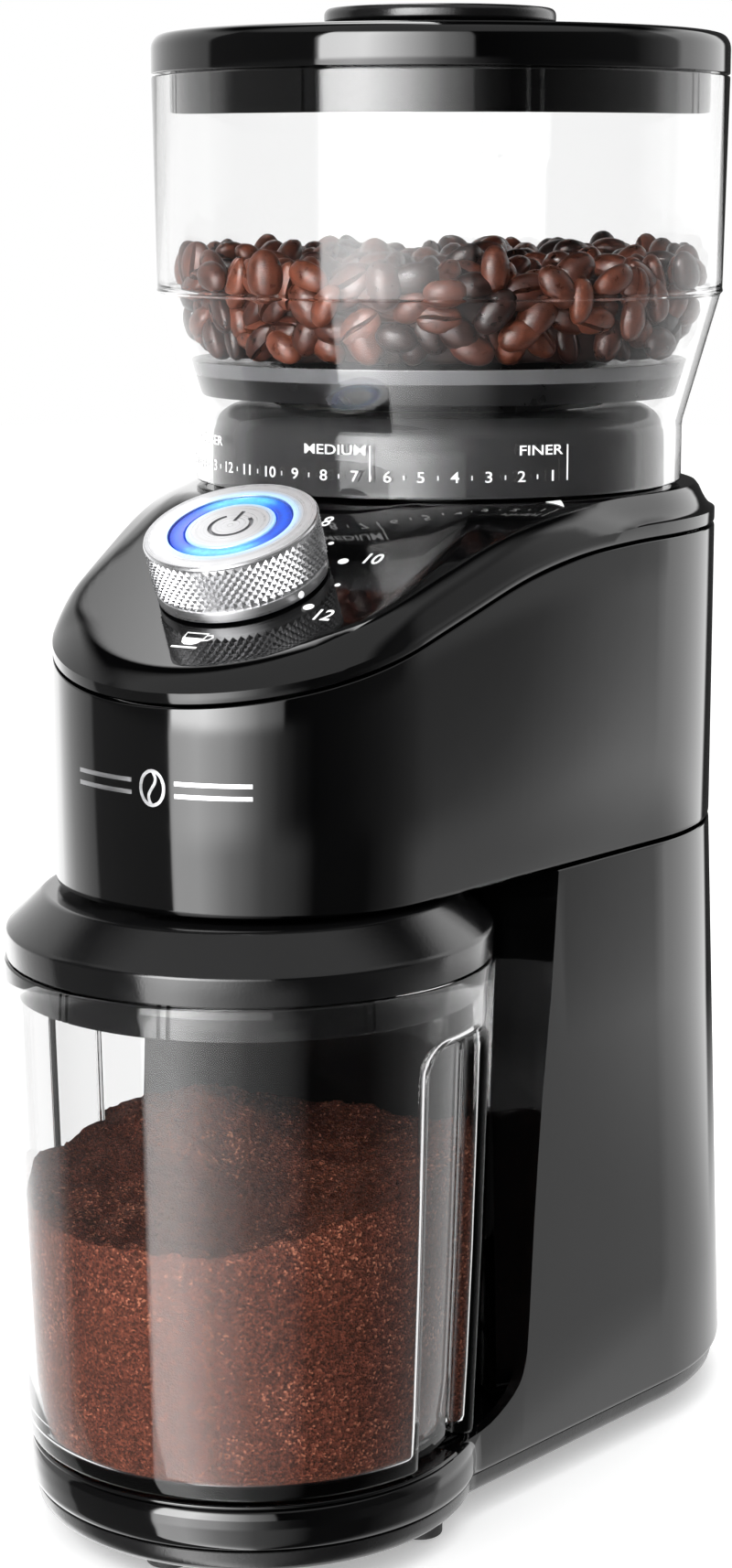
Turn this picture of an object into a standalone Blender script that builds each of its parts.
"""Conical burr coffee grinder: clear hopper, cast burr drive, tilted dose knob and sliding grounds container.

All lengths below are in millimetres; the meshes are made in metres. +Z is up, -Y is the front.
"""

import math

import bmesh
import bpy
from mathutils import Matrix, Vector

MM = 0.001
WELD = 0.002  # in millimetres

# ---- driving dimensions -------------------------------------------------------------------------
HOPPER_Y = 34.5  # burr and hopper axis
CONTAINER_Y = -62.0  # grounds container axis
BURR = (0.0, HOPPER_Y)
MIDDLE = (16.0, 58.386)  # intermediate gear axis
MOTOR = (0.0, 77.596)  # motor axis

HEAD_FRONT = (-55.5, 49.0)  # centre y and radius of the head's front arc
HEAD_REAR = (40.5, 68.5)
BASE_FRONT = (-55.5, 48.6)
BASE_REAR = (49.5, 70.4)
BASE_DISC = (-61.0, 54.6)
HEAD_BOTTOM = 156.0
COLUMN_TOP = 155.2
BASE_BOTTOM = 10.8
BASE_TOP = 20.5
WALL = 2.6

# side view curves: (y, z) of the head's parting line, (z, y) of the column's front edge
PARTING = [(-104.5, 203.6), (-79.5, 210.7), (-50.0, 219.8), (-27.5, 226.5), (-8.0, 230.0), (12.0, 231.5), (34.5, 232.0)]
COLUMN_FRONT = [(20.5, -57.5), (21.0, -47.5), (22.4, -39.5), (27.0, -30.5), (31.0, -27.0), (37.0, -25.3),
                (69.0, -23.2), (100.0, -20.6), (124.0, -17.7), (156.0, -15.1)]
SEAM = 0.4  # half of the gap at the parting line
LIP = 2.5
CROWN = 242.3  # flat ring of the top cover under the hopper
# width and rise of the rounded band around the deck, at y
BAND = [(-104.5, 10.0, 5.6), (-85.0, 8.4, 6.3), (-77.0, 6.4, 7.3), (-60.0, 5.5, 7.8), (-20.0, 5.4, 8.0), (5.0, 4.8, 7.4)]
DECK_SLOPE = 0.42
KNOB = (0.0, -63.9, 226.57)  # where the knob axis meets the deck
DECK_TILT = math.atan(DECK_SLOPE)

BIG = 40  # segments of large round pieces
MEDIUM = 24
SMALL = 12
ARC_REAR, ARC_FRONT, STRAIGHT = 20, 14, 7

MATERIALS = {
    # name: (colour, metallic, roughness, transmission)
    "black_gloss": ((0.012, 0.012, 0.013), 0.0, 0.12, 0.0),
    "black_satin": ((0.018, 0.018, 0.019), 0.0, 0.42, 0.0),
    "grey_plastic": ((0.11, 0.11, 0.115), 0.0, 0.5, 0.0),
    "white_nylon": ((0.78, 0.77, 0.72), 0.0, 0.45, 0.0),
    "clear": ((0.95, 0.95, 0.95), 0.0, 0.03, 0.92),
    "light_guide": ((0.25, 0.5, 0.95), 0.0, 0.3, 0.3),
    "brushed_aluminium": ((0.72, 0.72, 0.73), 1.0, 0.26, 0.0),
    "brushed_steel": ((0.62, 0.62, 0.63), 1.0, 0.28, 0.0),
    "dark_steel": ((0.3, 0.3, 0.31), 1.0, 0.4, 0.0),
    "zinc": ((0.55, 0.55, 0.56), 1.0, 0.45, 0.0),
    "copper": ((0.72, 0.34, 0.18), 1.0, 0.35, 0.0),
    "board": ((0.02, 0.16, 0.06), 0.0, 0.5, 0.0),
    "rubber": ((0.02, 0.02, 0.02), 0.0, 0.8, 0.0),
    "felt": ((0.5, 0.48, 0.43), 0.0, 0.95, 0.0),
}


# ---- scene and material helpers -----------------------------------------------------------------
def clear_scene():
    for obj in list(bpy.data.objects):
        bpy.data.objects.remove(obj)


def material(name):
    found = bpy.data.materials.get(name)
    if found:
        return found
    colour, metallic, roughness, transmission = MATERIALS[name]
    made = bpy.data.materials.new(name)
    made.use_nodes = True
    shader = made.node_tree.nodes["Principled BSDF"]
    shader.inputs["Base Color"].default_value = (*colour, 1.0)
    shader.inputs["Metallic"].default_value = metallic
    shader.inputs["Roughness"].default_value = roughness
    shader.inputs["Transmission Weight"].default_value = transmission
    return made


def finish_mesh(name, mesh, slot, origin=(0.0, 0.0, 0.0), matrix=None):
    """Puts a mesh given in millimetres into the scene, shaded smooth, with its origin at a chosen point."""
    work = bmesh.new()
    work.from_mesh(mesh)
    bmesh.ops.recalc_face_normals(work, faces=work.faces)
    work.to_mesh(mesh)
    work.free()
    placed = matrix or Matrix.Identity(4)
    mesh.transform(placed)
    mesh.transform(Matrix.Translation(-Vector(origin)))
    mesh.transform(Matrix.Scale(MM, 4))
    mesh.shade_smooth()
    mesh.set_sharp_from_angle(angle=math.radians(28.0))
    obj = bpy.data.objects.new(name, mesh)
    obj.location = Vector(origin) * MM
    obj.data.materials.append(material(slot))
    bpy.context.scene.collection.objects.link(obj)
    return obj


def mesh_of(vertices, faces):
    mesh = bpy.data.meshes.new("raw")
    mesh.from_pydata(vertices, [], faces)
    return mesh


def combine(base, tool, operation):
    """Applies one exact Boolean to a mesh in millimetres and returns the new mesh."""
    first = bpy.data.objects.new("first", base)
    second = bpy.data.objects.new("second", tool)
    for obj in (first, second):
        bpy.context.scene.collection.objects.link(obj)
        work = bmesh.new()
        work.from_mesh(obj.data)
        bmesh.ops.recalc_face_normals(work, faces=work.faces)
        work.to_mesh(obj.data)
        work.free()
    modifier = first.modifiers.new("Boolean", "BOOLEAN")
    modifier.solver = "EXACT"
    modifier.operation = operation
    modifier.object = second
    bpy.context.view_layer.update()
    graph = bpy.context.evaluated_depsgraph_get()
    result = bpy.data.meshes.new_from_object(first.evaluated_get(graph))
    bpy.data.objects.remove(first)
    bpy.data.objects.remove(second)
    work = bmesh.new()
    work.from_mesh(result)
    bmesh.ops.remove_doubles(work, verts=work.verts, dist=WELD)
    bmesh.ops.dissolve_degenerate(work, edges=work.edges, dist=WELD)
    work.to_mesh(result)
    work.free()
    return result


def cut(base, *tools):
    for tool in tools:
        base = combine(base, tool, "DIFFERENCE")
    return base


def join(base, *tools):
    for tool in tools:
        base = combine(base, tool, "UNION")
    return base


# ---- shape helpers, all in millimetres ----------------------------------------------------------
def revolved(profile, centre=(0.0, 0.0), segments=MEDIUM, z=0.0):
    """Turns a closed (radius, height) profile about a vertical axis."""
    vertices = []
    rings = []
    for radius, height in profile:
        if radius < 1e-6:
            rings.append([len(vertices)])
            vertices.append((centre[0], centre[1], height + z))
            continue
        rings.append(list(range(len(vertices), len(vertices) + segments)))
        for i in range(segments):
            angle = 2 * math.pi * i / segments
            vertices.append((centre[0] + radius * math.cos(angle), centre[1] + radius * math.sin(angle), height + z))
    faces = []
    for k, ring in enumerate(rings):
        after = rings[(k + 1) % len(rings)]
        if len(ring) == 1 and len(after) == 1:
            continue
        for i in range(segments):
            j = (i + 1) % segments
            corners = [ring[i % len(ring)], ring[j % len(ring)], after[j % len(after)], after[i % len(after)]]
            faces.append(list(dict.fromkeys(corners)))
    return mesh_of(vertices, faces)


def stacked(loops, closed_ends=True):
    """Skins a stack of loops that all hold the same number of points."""
    count = len(loops[0])
    vertices = [point for loop in loops for point in loop]
    faces = []
    for k in range(len(loops) - 1):
        for i in range(count):
            j = (i + 1) % count
            faces.append((k * count + i, k * count + j, (k + 1) * count + j, (k + 1) * count + i))
    if closed_ends:
        faces.append(list(range(count)))
        faces.append(list(range((len(loops) - 1) * count, len(loops) * count)))
    else:
        last = (len(loops) - 1) * count
        for i in range(count):
            j = (i + 1) % count
            faces.append((last + i, last + j, j, i))
    return mesh_of(vertices, faces)


def plate(outline, low, high, holes=()):
    """A flat plate with any number of holes, given as loops of (x, y)."""
    if not holes:
        return stacked([[(x, y, z) for x, y in outline] for z in (low, high)])
    loops = [outline, *holes]
    work = bmesh.new()
    rings = [[work.verts.new((x, y, 0.0)) for x, y in loop] for loop in loops]
    work.verts.index_update()
    edges = [work.edges.new((ring[i - 1], ring[i])) for ring in rings for i in range(len(ring))]
    bmesh.ops.triangle_fill(work, edges=edges, use_beauty=True, use_dissolve=False)
    caps = [[corner.index for corner in face.verts] for face in work.faces]
    work.free()
    flat = [point for loop in loops for point in loop]
    count = len(flat)
    vertices = [(x, y, z) for z in (low, high) for x, y in flat]
    faces = caps + [[i + count for i in reversed(cap)] for cap in caps]
    start = 0
    for loop in loops:
        for i in range(len(loop)):
            a, b = start + i, start + (i + 1) % len(loop)
            faces.append((a, b, b + count, a + count))
        start += len(loop)
    return mesh_of(vertices, faces)


def box(low, high):
    (x0, y0, z0), (x1, y1, z1) = low, high
    loops = [[(x0, y0, z), (x1, y0, z), (x1, y1, z), (x0, y1, z)] for z in (z0, z1)]
    return stacked(loops)


def across(profile, half_width):
    """A (y, z) polygon pushed out to both sides along X."""
    return stacked([[(x, y, z) for y, z in profile] for x in (-half_width, half_width)])


def circle(centre, radius, segments=SMALL, phase=0.0):
    points = []
    for i in range(segments):
        angle = phase + 2 * math.pi * i / segments
        points.append((centre[0] + radius * math.cos(angle), centre[1] + radius * math.sin(angle)))
    return points


def smooth(stations, at, column=1):
    """Cubic Hermite curve through stations of (position, value, ...), level beyond both ends."""
    if at <= stations[0][0]:
        return stations[0][column]
    if at >= stations[-1][0]:
        return stations[-1][column]
    k = max(i for i in range(len(stations) - 1) if stations[i][0] <= at)

    def slope(i):
        a, b = stations[max(i - 1, 0)], stations[min(i + 1, len(stations) - 1)]
        return (b[column] - a[column]) / (b[0] - a[0])

    (x0, v0), (x1, v1) = ((stations[i][0], stations[i][column]) for i in (k, k + 1))
    span = x1 - x0
    t = (at - x0) / span
    return ((2 * t**3 - 3 * t**2 + 1) * v0 + (t**3 - 2 * t**2 + t) * span * slope(k)
            + (3 * t**2 - 2 * t**3) * v1 + (t**3 - t**2) * span * slope(k + 1))


def egg(front, rear, inset=0.0):
    """Plan outline of two arcs joined by their tangents: (x, y) points, rear arc first."""
    (y1, r1), (y2, r2) = front, rear
    lean = math.asin((r2 - r1) / (y2 - y1))
    r1, r2 = r1 - inset, r2 - inset
    points = []
    for i in range(ARC_REAR + 1):
        angle = -lean + (math.pi + 2 * lean) * i / ARC_REAR
        points.append((r2 * math.cos(angle), y2 + r2 * math.sin(angle)))
    left_front = (-r1 * math.cos(lean), y1 - r1 * math.sin(lean))
    for i in range(1, STRAIGHT):
        t = i / STRAIGHT
        points.append(tuple(a + (b - a) * t for a, b in zip(points[ARC_REAR], left_front)))
    for i in range(ARC_FRONT + 1):
        angle = math.pi + lean + (math.pi - 2 * lean) * i / ARC_FRONT
        points.append((r1 * math.cos(angle), y1 + r1 * math.sin(angle)))
    right_front = points[-1]
    for i in range(1, STRAIGHT):
        t = i / STRAIGHT
        points.append(tuple(a + (b - a) * t for a, b in zip(right_front, points[0])))
    return points


def egg_inset(x, y, front=HEAD_FRONT, rear=HEAD_REAR):
    """How far inside the head's plan outline a point lies."""
    (y1, r1), (y2, r2) = front, rear
    lean = (r2 - r1) / (y2 - y1)
    side = math.sqrt(1 - lean * lean)
    x, y = abs(x), y - y1
    along = x * lean + y * side
    if along < 0:
        return r1 - math.hypot(x, y)
    if along > side * (y2 - y1):
        return r2 - math.hypot(x, y - (y2 - y1))
    return r1 - (x * side - y * lean)


def column_egg(z, inset=0.0):
    t = (z - BASE_BOTTOM) / (HEAD_BOTTOM - BASE_BOTTOM)
    front = tuple(a + (b - a) * t for a, b in zip(BASE_FRONT, HEAD_FRONT))
    rear = tuple(a + (b - a) * t for a, b in zip(BASE_REAR, HEAD_REAR))
    return egg(front, rear, inset)


def column_half_width(y, z, inset):
    t = (z - BASE_BOTTOM) / (HEAD_BOTTOM - BASE_BOTTOM)
    (y1, r1), (y2, r2) = (tuple(a + (b - a) * t for a, b in zip(p, q))
                          for p, q in ((BASE_FRONT, HEAD_FRONT), (BASE_REAR, HEAD_REAR)))
    lean = math.asin((r2 - r1) / (y2 - y1))
    return (r1 - inset) / math.cos(lean) + (y - y1) * math.tan(lean)


def column_loft(levels):
    loops = [[(x, y, z) for x, y in column_egg(z, inset)] for z, inset in levels]
    return stacked(loops)


def hull(circles, grow=0.0, segments=MEDIUM):
    """Convex outline around several (x, y, radius) circles."""
    cloud = sorted(p for x, y, r in circles for p in circle((x, y), r + grow, segments))

    def half(points):
        chain = []
        for p in points:
            while len(chain) > 1:
                (ax, ay), (bx, by) = chain[-2], chain[-1]
                if (bx - ax) * (p[1] - ay) - (by - ay) * (p[0] - ax) > 1e-9:
                    break
                chain.pop()
            chain.append(p)
        return chain[:-1]

    outline = half(cloud) + half(cloud[::-1])
    return [p for i, p in enumerate(outline) if math.dist(p, outline[i - 1]) > 0.3]


def gear_outline(centre, teeth, module, phase):
    """Straight-sided teeth with running backlash."""
    pitch_radius = teeth * module / 2
    tip, root = pitch_radius + 0.75 * module, pitch_radius - 1.05 * module
    step = 2 * math.pi / teeth
    points = []
    for i in range(teeth):
        middle = phase + i * step
        for offset, radius in ((-0.27, root), (-0.11, tip), (0.11, tip), (0.27, root)):
            angle = middle + offset * step
            points.append((centre[0] + radius * math.cos(angle), centre[1] + radius * math.sin(angle)))
    return points


def deck_matrix():
    """Frame whose Z is the knob axis, square to the sloping deck."""
    return Matrix.Translation(Vector(KNOB)) @ Matrix.Rotation(DECK_TILT, 4, "X")


def soft_min(a, b, reach):
    gap = max(reach - abs(a - b), 0.0)
    return min(a, b) - gap * gap / (4 * reach)


def cover_height(x, y):
    """Height of the top cover's outer skin over a point of its plan."""
    inset = max(egg_inset(x, y), 0.0)
    rear = min(max((y + 6.0) / 24.0, 0.0), 1.0)
    rear = rear * rear * (3 - 2 * rear)
    lip = smooth(PARTING, y) + SEAM + LIP + 0.7 * rear
    width, rise = smooth(BAND, y), smooth(BAND, y, 2)
    u = min(inset / width, 1.0)
    convex = 0.68 * (1 - (1 - u) ** 2.4) + 0.32 * u
    hollow = 0.22 * u + 0.78 * u**2.1
    band = lip + rise * (convex + (hollow - convex) * rear) + 0.5 * max(inset - width, 0.0)
    plane = KNOB[2] + DECK_SLOPE * (y - KNOB[1])
    return soft_min(soft_min(band, plane, 0.8), CROWN, 1.8)


# ---- hopper and lid -----------------------------------------------------------------------------
def make_hopper():
    centre = BURR
    at = (0.0, HOPPER_Y, 0.0)
    shell = revolved([(62, 243.3), (62, 258), (71.5, 291), (72.5, 343.3), (69.9, 343.3), (68.9, 291.6),
                      (59.4, 258.8), (59.4, 243.3)], centre, BIG)
    finish_mesh("hopper", shell, "clear", at)
    floor = revolved([(62.0, 270.7), (63.1, 274.2), (59.5, 273.6), (41, 272.4), (24.2, 260.4), (22, 257.5),
                      (22, 250.6), (24, 250.6), (24, 257.0), (41.5, 269.6), (43.5, 270.6), (58.4, 270.6),
                      (58.4, 265.4), (60.4, 265.4)], centre, BIG)
    for k in range(3):
        lug = box((34.4, -3.7, 257.8), (40.2, 3.7, 268.0))
        lug.transform(Matrix.Translation((*BURR, 0.0)) @ Matrix.Rotation(math.radians(90 + 120 * k), 4, "Z"))
        floor = join(floor, lug)
    finish_mesh("hopper_floor", floor, "grey_plastic", at)
    lid = revolved([(0, 352.9), (65.4, 349.4), (65.4, 333.3), (67.8, 333.3), (67.8, 343.8), (72.5, 343.8),
                    (72.5, 351.2), (71.6, 352.9), (69.4, 353.7), (50, 354.9), (30, 355.7), (0, 355.7)], centre, BIG)
    finish_mesh("lid", lid, "grey_plastic", at)
    handle = revolved([(0, 356.0), (27.6, 356.0), (29, 356.9), (29, 358.9), (28.2, 360.0), (25.5, 360.0),
                       (24, 359.5), (0, 359.3)], centre, MEDIUM + 12)
    finish_mesh("lid_handle", handle, "black_satin", at)


# ---- burr set and grind adjuster ----------------------------------------------------------------
def star_loops(levels, teeth, twist):
    """Loops of a ridged cone, from (z, tip radius, root radius)."""
    loops = []
    for z, tip, root in levels:
        loop = []
        turn = math.radians(twist) * (z - levels[0][0]) / (levels[-1][0] - levels[0][0])
        for i in range(2 * teeth):
            radius = tip if i % 2 == 0 else root
            angle = turn + math.pi * i / teeth
            loop.append((BURR[0] + radius * math.cos(angle), BURR[1] + radius * math.sin(angle), z))
        loops.append(loop)
    return loops


def make_burrs():
    at = (0.0, HOPPER_Y, 0.0)
    collar = revolved([(57.5, 242.9), (57.5, 255.8), (56.3, 259.6), (53, 262), (49, 262.7), (42, 262.7), (42, 217.2),
                       (31.6, 217.2), (31.6, 214.6), (44.6, 214.6), (44.6, 258.6), (53, 258.6), (55, 255.4),
                       (55, 242.9)], BURR, BIG)
    finish_mesh("collar", collar, "grey_plastic", at)
    ring = revolved([(41.2, 223.5), (41.2, 262.2), (32.2, 262.2), (31, 250), (31, 223.5)], BURR, BIG)
    for k in range(3):
        notch = box((30.0, -4.2, 256.6), (43.0, 4.2, 264.0))
        notch.transform(Matrix.Translation((*BURR, 0.0)) @ Matrix.Rotation(math.radians(90 + 120 * k), 4, "Z"))
        ring = cut(ring, notch)
    finish_mesh("adjust_ring", ring, "white_nylon", at)
    carrier = revolved([(30.3, 219), (30.3, 247), (28.6, 248), (24.6, 247), (24.6, 219)], BURR, MEDIUM)
    finish_mesh("burr_carrier", carrier, "zinc", at)
    outer = [[(x, y, z) for x, y in circle(BURR, 24.1, 36)] for z in (241.0, 219.3)]
    inner = star_loops([(219.3, 20.2, 19.4), (226.0, 19.9, 19.1), (234.0, 20.9, 19.4), (241.0, 22.4, 21.0)], 18, 18)
    finish_mesh("ring_burr", stacked(outer + inner, closed_ends=False), "dark_steel", at)
    cone = stacked(star_loops([(217.6, 18.4, 17.5), (222.0, 18.3, 17.2), (232.0, 14.6, 12.6), (242.0, 9.2, 8.0)], 18, 40))
    cone = cut(cone, revolved([(0, 210), (4.3, 210), (4.3, 250), (0, 250)], BURR, SMALL))
    finish_mesh("cone_burr", cone, "dark_steel", at)
    nut = plate(circle(BURR, 8.0, 6), 242.4, 247.6, [circle(BURR, 4.3)])
    finish_mesh("burr_nut", nut, "brushed_steel", at)
    shaft = revolved([(0, 150.9), (3.6, 150.9), (4, 151.4), (4, 248.6), (3.4, 249.3), (0, 249.3)], BURR, SMALL)
    finish_mesh("drive_shaft", shaft, "brushed_steel", at)
    wheel = revolved([(4.3, 198.6), (29.4, 198.6), (29.4, 200.6), (9.4, 200.6), (9.0, 216.9), (4.3, 216.9)], BURR, MEDIUM)
    for k in range(6):
        paddle = box((8.0, -1.1, 199.6), (29.0, 1.1, 209.0))
        paddle.transform(Matrix.Translation((*BURR, 0.0)) @ Matrix.Rotation(math.radians(15 + 60 * k), 4, "Z"))
        wheel = join(wheel, paddle)
    finish_mesh("impeller", wheel, "white_nylon", at)


def make_chamber():
    at = (0.0, HOPPER_Y, 0.0)
    bowl = revolved([(36, 194.2), (36, 214.2), (33.6, 214.2), (33.6, 196.8), (9.9, 196.8), (9.9, 194.2)], BURR, MEDIUM)
    bowl = cut(bowl, box((-10, -8, 198.0), (10, 8, 209.8)))
    finish_mesh("grinding_chamber", bowl, "zinc", at)
    seal = revolved([(4.3, 194.3), (9.6, 194.3), (9.6, 196.6), (4.3, 196.6)], BURR, SMALL)
    finish_mesh("shaft_seal", seal, "felt", at)
    outer = [(-1.9, 195.6), (-1.9, 212.0), (-28, 212.0), (-73, 178), (-73, 156.3), (-51, 156.3), (-51, 170), (-22, 195.6)]
    inner = [(5, 197.7), (5, 210.0), (-28.7, 210.0), (-71, 177), (-71, 150), (-53, 150), (-53, 171), (-22.8, 197.7)]
    finish_mesh("chute", cut(across(outer, 12.0), across(inner, 10.0)), "grey_plastic")


# ---- gearbox ------------------------------------------------------------------------------------
def direction(a, b):
    return math.atan2(b[1] - a[1], b[0] - a[0])


def bearing(name, low):
    ring = revolved([(4.15, low), (9.3, low), (9.3, low + 5.8), (4.15, low + 5.8)], BURR, SMALL)
    finish_mesh(name, ring, "brushed_steel", (0.0, HOPPER_Y, 0.0))


def make_gearbox():
    circles = [(*BURR, 28.0), (*MIDDLE, 25.0), (*MOTOR, 13.0)]
    case = plate(hull(circles), 155.2, 184.0)
    case = cut(case, plate(hull(circles, -2.3), 158.0, 190.0))
    pocket = revolved([(0, 149.2), (12, 149.2), (12, 156.5), (0, 156.5)], BURR, SMALL)
    case = join(case, pocket)
    case = cut(case,
               revolved([(0, 140), (6, 140), (6, 150), (9.6, 150), (9.6, 160), (0, 160)], BURR, SMALL),
               revolved([(0, 140), (6, 140), (6, 165), (0, 165)], MOTOR, SMALL))
    finish_mesh("gearbox_case", case, "zinc")
    cover = plate(hull(circles), 184.3, 187.0, [circle(BURR, 6.5), circle(MIDDLE, 3.3)])
    boss = revolved([(9.6, 186.5), (12.6, 186.5), (12.6, 193.6), (9.6, 193.6)], BURR, SMALL)
    finish_mesh("gearbox_cover", join(cover, boss), "zinc")
    bearing("lower_bearing", 150.5)
    bearing("upper_bearing", 187.4)
    pinion = plate(gear_outline(MOTOR, 10, 1.0, direction(MOTOR, MIDDLE)), 159.6, 168.6, [circle(MOTOR, 2.7, 12)])
    finish_mesh("motor_pinion", pinion, "brushed_steel", (*MOTOR, 0.0))
    large = gear_outline(MIDDLE, 40, 1.0, direction(MIDDLE, MOTOR) + math.pi / 40)
    little = gear_outline(MIDDLE, 10, 1.25, direction(MIDDLE, BURR))
    middle = join(plate(large, 160.0, 168.0, [circle(MIDDLE, 3.2)]), plate(little, 167.0, 181.0, [circle(MIDDLE, 3.2)]))
    finish_mesh("middle_gear", middle, "white_nylon", (*MIDDLE, 0.0))
    pin = revolved([(0, 158.3), (3, 158.3), (3, 186.4), (0, 186.4)], MIDDLE, SMALL)
    finish_mesh("middle_pin", pin, "brushed_steel", (*MIDDLE, 0.0))
    output = plate(gear_outline(BURR, 36, 1.25, direction(BURR, MIDDLE) + math.pi / 36), 170.2, 179.4, [circle(BURR, 4.3)])
    finish_mesh("output_gear", output, "white_nylon", (*BURR, 0.0))


# ---- motor --------------------------------------------------------------------------------------
def tube(name, slot, inner, outer, low, high, segments=MEDIUM):
    profile = [(inner, low), (outer, low), (outer, high), (inner, high)]
    finish_mesh(name, revolved(profile, MOTOR, segments), slot, (*MOTOR, 0.0))


def make_motor():
    tube("motor_can", "zinc", 26.0, 28.0, 74.0, 143.5)
    tube("stator", "dark_steel", 18.6, 25.7, 84.0, 134.0)
    tube("rotor", "copper", 2.7, 18.0, 86.0, 132.0)
    tube("commutator", "copper", 2.7, 8.0, 76.0, 82.0, SMALL)
    top = revolved([(3.0, 143.8), (28, 143.8), (28, 147.3), (9, 147.3), (9, 151.5), (3.0, 151.5)], MOTOR, MEDIUM)
    finish_mesh("motor_end_top", top, "zinc", (*MOTOR, 0.0))
    vents = [circle((MOTOR[0] + 18 * math.cos(a), MOTOR[1] + 18 * math.sin(a)), 4.0, 10)
             for a in (math.radians(30 + 60 * k) for k in range(6))]
    bottom = plate(circle(MOTOR, 28.0, MEDIUM), 70.4, 73.7, [circle(MOTOR, 3.0), *vents])
    finish_mesh("motor_end_bottom", bottom, "zinc", (*MOTOR, 0.0))
    shaft = revolved([(0, 57.0), (2.5, 57.0), (2.5, 169.6), (0, 169.6)], MOTOR, SMALL)
    finish_mesh("motor_shaft", shaft, "brushed_steel", (*MOTOR, 0.0))
    for name, side in (("brush_left", -1), ("brush_right", 1)):
        low, high = sorted((side * 8.4, side * 15.5))
        block = box((low, MOTOR[1] - 2.5, 76.8), (high, MOTOR[1] + 2.5, 81.2))
        finish_mesh(name, block, "dark_steel")
    fan = revolved([(2.8, 58.0), (25.5, 58.0), (25.5, 59.5), (7.0, 59.5), (7.0, 68.0), (2.8, 68.0)], MOTOR, MEDIUM)
    for k in range(8):
        blade = box((6.0, -0.8, 59.0), (25.0, 0.8, 67.5))
        blade.transform(Matrix.Translation((*MOTOR, 0.0)) @ Matrix.Rotation(math.radians(11 + 45 * k), 4, "Z"))
        fan = join(fan, blade)
    finish_mesh("fan", fan, "black_satin", (*MOTOR, 0.0))


# ---- head ---------------------------------------------------------------------------------------
def make_upper_housing():
    def loop(inset, z=None):
        return [(x, y, smooth(PARTING, y) - SEAM if z is None else z) for x, y in egg(HEAD_FRONT, HEAD_REAR, inset)]

    outline = egg(HEAD_FRONT, HEAD_REAR)
    top = [smooth(PARTING, y) - SEAM for _, y in outline]

    def rim(inset):
        return [(x, y, z) for (x, y), z in zip(egg(HEAD_FRONT, HEAD_REAR, inset), top)]

    shell = stacked([loop(1.2, HEAD_BOTTOM), loop(0.0, HEAD_BOTTOM + 1.2), rim(0.0), rim(WALL - 0.1),
                     loop(WALL - 0.1, HEAD_BOTTOM + WALL)])
    opening = [(-44, 3), (44, 3), (44, 78), (20, 94), (-20, 94), (-44, 78)]
    shell = cut(shell,
                box((-12.7, -73.7, 150), (12.7, -50.3, 162)),
                plate(opening, 150.0, 162.0))
    finish_mesh("upper_housing", shell, "black_gloss")


def make_top_cover():
    reaches = [0.0, 0.8, 2.2, 4.0, 5.8, 8.0, 11.0, 14.5]
    rest = [0.5, 1.0]
    outline = egg(HEAD_FRONT, HEAD_REAR)

    def skin(start, drop):
        """Loops running from the edge of the plan to the hole around the burr axis."""
        loops = [[] for _ in range(len(reaches) + len(rest))]
        for (ax, ay), (x, y) in zip(outline, egg(HEAD_FRONT, HEAD_REAR, start)):
            away = Vector((ax - BURR[0], ay - BURR[1])).normalized()
            end = Vector(BURR) + 46.0 * away
            begin = Vector((x, y))
            length = (end - begin).length
            scale = min(1.0, 0.78 * length / reaches[-1])
            steps = [r * scale for r in reaches]
            steps += [steps[-1] + (length - steps[-1]) * t for t in rest]
            for loop, step in zip(loops, steps):
                p = begin + (end - begin) * step / length
                loop.append((p.x, p.y, cover_height(p.x, p.y) - drop))
        return loops

    outer, inner = skin(0.0, 0.0), skin(WALL - 0.1, 2.4)
    foot = [smooth(PARTING, y) + SEAM for _, y in outline]
    outer_foot = [(x, y, z) for (x, y, _), z in zip(outer[0], foot)]
    inner_foot = [(x, y, z) for (x, y, _), z in zip(inner[0], foot)]
    cover = stacked([outer_foot, *outer, *inner[::-1], inner_foot], closed_ends=False)
    hole = revolved([(0, -12), (6.2, -12), (6.2, 12), (0, 12)], (0.0, 0.0), SMALL)
    hole.transform(deck_matrix())
    finish_mesh("top_cover", cut(cover, hole), "black_gloss")


# ---- knob and controls --------------------------------------------------------------------------
def on_deck(name, mesh, slot):
    finish_mesh(name, mesh, slot, KNOB, deck_matrix())


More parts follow.
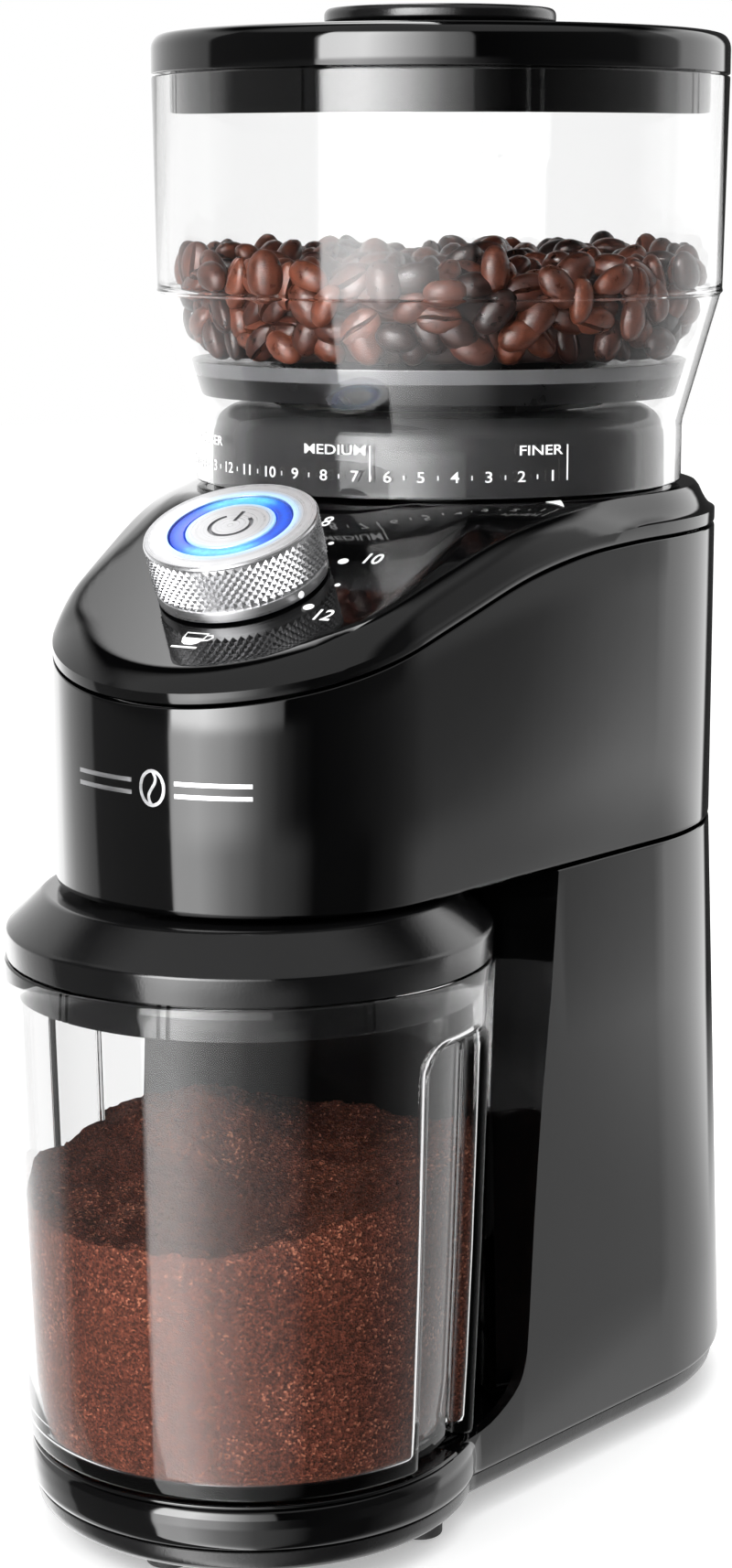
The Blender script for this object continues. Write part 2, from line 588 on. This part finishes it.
def make_knob():
    axis = (0.0, 0.0)
    ring = [(20.3, 0.6), (20.65, 1.0), (20.65, 14.6), (20.15, 15.1), (14.7, 15.1), (14.7, 10.2), (18.3, 10.2), (18.3, 0.6)]
    on_deck("knob", revolved(ring, axis, 32), "brushed_aluminium")
    guide = [(14.3, 9.0), (14.3, 14.8), (10.95, 14.8), (10.95, 9.0)]
    on_deck("light_guide", revolved(guide, axis, MEDIUM), "light_guide")
    button = [(0, 7.0), (3, 7.0), (3, 11.6), (10.6, 11.6), (10.6, 14.6), (10.2, 15.0), (0, 15.0)]
    on_deck("start_button", revolved(button, axis, MEDIUM), "brushed_aluminium")
    post = [(14.2, 0.8), (14.2, 8.7), (12.2, 8.7), (12.2, 2.8), (3.4, 2.8), (3.4, -9.0), (5.4, -9.0), (5.4, 0.8)]
    on_deck("knob_pedestal", revolved(post, axis, MEDIUM), "grey_plastic")
    on_deck("press_switch", box((-3.6, -3.6, 3.1), (3.6, 3.6, 5.6)), "black_satin")
    on_deck("button_spring", helix(6.6, 0.4, 3.3, 10.2, 3.5), "brushed_steel")
    board = plate([(-24, -22), (24, -22), (24, 22), (-24, 22)], -14.0, -12.4, [circle((-20, 18), 1.6, 10), circle((20, -18), 1.6, 10)])
    parts = [box((-8, -7, -16.5), (6, 7, -13.5)), box((12, 6, -17.5), (20, 18, -13.5)), box((-20, -18, -16), (-13, -9, -13.5))]
    on_deck("control_board", join(board, *parts), "board")


def helix(radius, wire, low, high, turns, steps=12, sides=4):
    loops = []
    total = int(turns * steps)
    for k in range(total + 1):
        angle = 2 * math.pi * k / steps
        z = low + wire + (high - low - 2 * wire) * k / total
        loop = []
        for j in range(sides):
            around = 2 * math.pi * j / sides
            reach = radius + wire * math.cos(around)
            loop.append((reach * math.cos(angle), reach * math.sin(angle), z + wire * math.sin(around)))
        loops.append(loop)
    return stacked(loops)


# ---- column, base and their panels --------------------------------------------------------------
def make_lower_housing():
    body = column_loft([(BASE_BOTTOM, 1.0), (BASE_BOTTOM + 1.2, 0.0), (60.0, 0.0), (108.0, 0.0), (COLUMN_TOP, 0.0)])
    front = [(y, z) for z, y in COLUMN_FRONT]
    front = [(-200, front[0][1]), *front, (-14.6, 175), (-200, 175)]
    body = cut(body, across(front, 120.0))
    disc = revolved([(0, BASE_BOTTOM), (53.6, BASE_BOTTOM), (54.5, 12.4), (54.6, 16.0), (54.2, 19.0), (53.3, 20.5), (52.0, 20.9),
                     (0, 20.9)], (0.0, BASE_DISC[0]), BIG)
    body = join(body, disc)
    room = column_loft([(4.0, WALL), (90.0, WALL), (172.0, WALL)])
    room = cut(room, box((-120, -200, 18.2), (120, 0.5, 20.1)))
    under = revolved([(0, 4), (BASE_DISC[1] - WALL, 4), (BASE_DISC[1] - WALL, 18.2), (0, 18.2)], (0.0, BASE_DISC[0]), BIG)
    body = cut(body, room, under)
    inlet = revolved([(0, -20), (7.0, -20), (7.0, 20), (0, 20)], (0.0, 0.0), SMALL)
    inlet.transform(Matrix.Translation((0.0, 117.0, 45.0)) @ Matrix.Rotation(math.radians(-90), 4, "X"))
    finish_mesh("lower_housing", cut(body, inlet), "black_gloss")


def make_recess_panel():
    loops = []
    for z in (21.5, 40.0, 69.0, 100.0, 128.0, 154.8):
        edge = max(smooth(COLUMN_FRONT, z), -26.0) + 0.7
        front, back = [], []
        for radius, row in ((60.2, front), (62.4, back)):
            shift = radius - 60.2
            reach = math.acos((edge + shift - CONTAINER_Y) / radius)
            side = column_half_width(edge, z, WALL) - 0.4
            row.append((-side, edge + shift, z))
            for i in range(17):
                angle = -reach + 2 * reach * i / 16
                row.append((radius * math.sin(angle), CONTAINER_Y + radius * math.cos(angle), z))
            row.append((side, edge + shift, z))
        loops.append(front + back[::-1])
    finish_mesh("recess_panel", stacked(loops), "black_gloss")


def make_base():
    levels = [(4.5, 4.2), (6.2, 2.0), (10.4, 1.4)]
    skirt = stacked([[(x, y, z) for x, y in egg(BASE_FRONT, BASE_REAR, inset)] for z, inset in levels])
    apron = revolved([(0, 4.6), (50.6, 4.6), (52.8, 6.3), (53.3, 10.3), (0, 10.3)], (0.0, BASE_DISC[0]), BIG)
    tray = join(skirt, apron)
    room = [(x, y) for x, y in egg(BASE_FRONT, BASE_REAR, 5.8)]
    tray = cut(tray, plate(room, 7.0, 12.0), revolved([(0, 7.1), (47.6, 7.1), (47.6, 12), (0, 12)], (0.0, -58.5), BIG))
    screws = {"base_screw_front": (0.0, -84.0), "base_screw_left": (-40.0, 66.0), "base_screw_right": (40.0, 66.0)}
    for name, spot in screws.items():
        tray = cut(tray, revolved([(0, 2), (3.9, 2), (3.9, 5.6), (2.1, 5.6), (2.1, 9), (0, 9)], spot, 16))
        screw = revolved([(0, 4.7), (3.4, 4.7), (3.4, 5.3), (1.6, 5.3), (1.6, 16.0), (0, 16.6)], spot, 16)
        finish_mesh(name, screw, "dark_steel", (*spot, 0.0))
    finish_mesh("base_plate", tray, "black_satin")
    feet = {"foot_front": (0.0, -101.0), "foot_left": (-44.0, -59.0), "foot_right": (44.0, -59.0),
            "foot_rear_left": (-34.0, 92.0), "foot_rear_right": (34.0, 92.0)}
    for name, spot in feet.items():
        pad = revolved([(0, 0), (4.9, 0), (5.5, 0.6), (5.5, 4.2), (0, 4.2)], spot, SMALL)
        finish_mesh(name, pad, "rubber", (*spot, 0.0))
    gland = revolved([(4.0, -8.0), (6.6, -8.0), (6.6, 0.3), (8.6, 0.3), (8.1, 1.8), (4.0, 1.8)], (0.0, 0.0), SMALL)
    gland.transform(Matrix.Translation((0.0, 118.0, 45.0)) @ Matrix.Rotation(math.radians(-90), 4, "X"))
    finish_mesh("cord_gland", gland, "rubber")


def grip_cutter(depth, grow, low, high):
    """Two shallow finger recesses at the sides of the container, closed above and open below."""
    tools = []
    for side in (-1, 1):
        outline = []
        half, deep = 15.0 + grow, depth + grow
        for i in range(13):
            t = -1 + i / 6
            ease = 1 - t * t * t * t
            outline.append((side * (58.4 - (deep + 0.4) * ease), CONTAINER_Y + half * t))
        outline.append((side * 70.0, CONTAINER_Y + half))
        outline.append((side * 70.0, CONTAINER_Y - half))
        tools.append(plate(outline, low, high + grow))
    return tools


def make_container():
    def cup(radii):
        return revolved(radii, (0.0, CONTAINER_Y), BIG)

    outside = cup([(0, 22.4), (53.0, 22.4), (54.2, 23.6), (56.0, 70), (57.0, 104), (57.9, 137.6), (57.9, 139.2), (0, 139.2)])
    inside = cup([(0, 25.0), (51.4, 25.0), (52.3, 26.0), (53.8, 70), (54.8, 104), (55.7, 137.6), (55.7, 145), (0, 145)])
    outside = cut(outside, *grip_cutter(5.0, 0.0, 10.0, 126.0))
    inside = cut(inside, *grip_cutter(5.0, 2.2, 10.0, 126.0))
    finish_mesh("container", cut(outside, inside), "clear", (0.0, CONTAINER_Y, 0.0))
    lid = cup([(16.2, 152.6), (47.9, 152.6), (52.6, 147.8), (52.6, 131.2), (54.7, 131.2), (54.7, 139.6), (57.4, 139.6),
               (57.5, 140.0), (57.5, 146.0), (57.0, 146.7), (48.9, 154.5), (48.3, 154.7), (16.2, 154.7)])
    finish_mesh("container_lid", lid, "black_satin", (0.0, CONTAINER_Y, 0.0))
    dock = cup([(0, 21.2), (53.6, 21.2), (53.6, 21.6), (53.2, 22.0), (0, 22.0)])
    walls = cut(box((-80, -57.9, 15), (80, 60, 35)), column_loft([(10.0, WALL + 0.5), (40.0, WALL + 0.5)]))
    dock = cut(dock, *grip_cutter(4.6, 0.0, 10.0, 60.0), walls)
    finish_mesh("locating_plate", dock, "black_gloss")


def make_power_board():
    board = box((-30, 12.0, 60.0), (30, 13.6, 140.0))
    parts = [box((6, 13.0, 100), (26, 25, 122)), box((-26, 13.0, 108), (-8, 20, 130)), box((8, 13.0, 66), (24, 19, 90))]
    finish_mesh("power_board", join(board, *parts), "board")
    can = revolved([(0, 66.0), (7.5, 66.0), (7.5, 96.0), (0, 96.0)], (-14.0, 22.2), SMALL)
    finish_mesh("capacitor", can, "dark_steel")


def main():
    clear_scene()
    make_hopper()
    make_burrs()
    make_chamber()
    make_gearbox()
    make_motor()
    make_upper_housing()
    make_top_cover()
    make_knob()
    make_lower_housing()
    make_recess_panel()
    make_base()
    make_container()
    make_power_board()


main()
